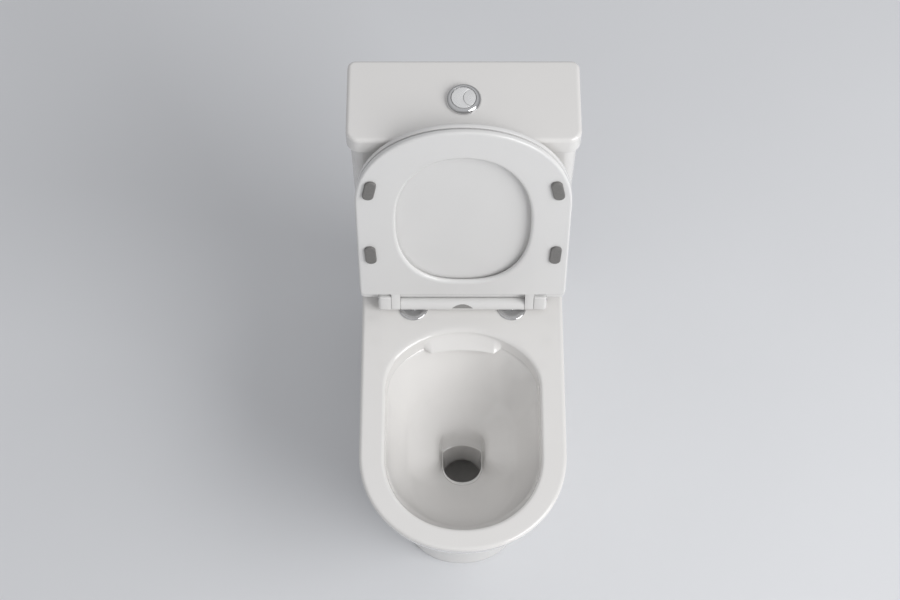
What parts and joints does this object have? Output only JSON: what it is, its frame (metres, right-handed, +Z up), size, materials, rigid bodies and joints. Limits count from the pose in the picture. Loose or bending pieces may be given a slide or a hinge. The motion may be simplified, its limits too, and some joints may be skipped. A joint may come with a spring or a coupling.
{
  "type": "close coupled toilet",
  "caption": "Floor-standing close coupled toilet: rimless pan with skirt, cistern with dual flush button, hinged soft-close seat and lid raised.",
  "frame": {"origin": "on the floor, midway between the back plane and the pan's front, in the middle plane", "axes": "+Z up, -Y towards the front, +X to the right seen from the front"},
  "size_m": [0.38, 0.6964, 0.8728],
  "materials": {
    "ceramic": "gloss glaze",
    "seat_plastic": "gloss",
    "chrome": "polished",
    "grey_buffer": "satin",
    "clear_buffer": "satin",
    "rubber": "matte",
    "steel": "zinc plated",
    "valve_plastic": "moulded",
    "valve_blue": "moulded",
    "float_red": "moulded"
  },
  "bodies": {
    "lid": {"seat_lid": "seat_plastic", "lid_hinge_arm_left": "seat_plastic", "lid_hinge_arm_right": "seat_plastic", "lid_bumpers": "clear_buffer"},
    "seat": {"seat_ring": "seat_plastic", "seat_hinge_arm_left": "seat_plastic", "seat_hinge_arm_right": "seat_plastic", "seat_bumpers": "grey_buffer"},
    "full_button": {"full_flush_button": "chrome"},
    "half_button": {"half_flush_button": "chrome"},
    "release": {"release_button": "grey_buffer"},
    "float": {"float_cup": "float_red"},
    "lever": {"float_lever": "valve_blue"},
    "valve": {"overflow_tube": "valve_blue", "flush_seal": "rubber"},
    "base": {"button_bezel": "chrome", "button_nut": "valve_plastic", "cistern": "ceramic", "cistern_gasket": "rubber", "cistern_lid": "ceramic", "cistern_pads": "rubber", "coupling_bolt_seals": "rubber", "coupling_bolts": "steel", "coupling_washers": "steel", "coupling_wing_nuts": "valve_plastic", "fill_valve_backnut": "valve_plastic", "fill_valve_cap": "valve_blue", "fill_valve_column": "valve_plastic", "fill_valve_head": "valve_plastic", "fill_valve_washer": "rubber", "floor_brackets": "valve_plastic", "flush_valve_backnut": "valve_plastic", "flush_valve_housing": "valve_plastic", "flush_valve_seat": "valve_plastic", "flush_valve_washer": "rubber", "full_flush_spring": "steel", "half_flush_spring": "steel", "hinge_bar": "seat_plastic", "hinge_cone_washers": "rubber", "hinge_studs": "steel", "hinge_wing_nuts": "valve_plastic", "left_damper": "valve_plastic", "left_hinge_base": "chrome", "left_hinge_pin": "steel", "pan_rim": "ceramic", "pan_skirt": "ceramic", "pan_bowl": "ceramic", "pan_trapway": "ceramic", "pan_flush_duct": "ceramic", "right_damper": "valve_plastic", "right_hinge_base": "chrome", "right_hinge_pin": "steel", "screw_caps": "seat_plastic", "side_screws": "steel"}
  },
  "joints": [
    {"name": "lid_hinge", "type": "hinge", "parent": "base", "child": "lid", "pos_m": [0, 0.108, 0.42], "axis": [1, 0, 0], "range_deg": [0, 99.5]},
    {"name": "seat_hinge", "type": "hinge", "parent": "lid", "child": "seat", "pos_m": [0, 0.108, 0.42], "axis": [-1, 0, 0], "range_deg": [-99.5, 0]},
    {"name": "full_flush_press", "type": "slide", "parent": "base", "child": "full_button", "axis": [0, 0, -1], "range_m": [0, 0.008], "stiffness_N_per_m": 450, "springref_m": -0.004, "deforming": ["full_flush_spring"]},
    {"name": "half_flush_press", "type": "slide", "parent": "base", "child": "half_button", "axis": [0, 0, -1], "range_m": [0, 0.008], "stiffness_N_per_m": 450, "springref_m": -0.004, "deforming": ["half_flush_spring"]},
    {"name": "seat_release_press", "type": "slide", "parent": "base", "child": "release", "axis": [0, 0.866, -0.5], "range_m": [0, 0.003], "stiffness_N_per_m": 800, "springref_m": -0.002},
    {"name": "valve_lift", "type": "slide", "parent": "base", "child": "valve", "axis": [0, 0, 1], "range_m": [0, 0.02]},
    {"name": "float_rise", "type": "slide", "parent": "base", "child": "float", "axis": [0, 0, 1], "range_m": [0, 0.016]},
    {"name": "lever_turn", "type": "hinge", "parent": "base", "child": "lever", "pos_m": [0.125, 0.27, 0.705], "axis": [0, -1, 0], "range_deg": [0, 27.8]}
  ],
  "couplings": [
    {"joint": "valve_lift", "follows": "full_flush_press", "ratio": 2.5},
    {"joint": "lever_turn", "follows": "float_rise", "rad_per_m": 30.303}
  ]
}
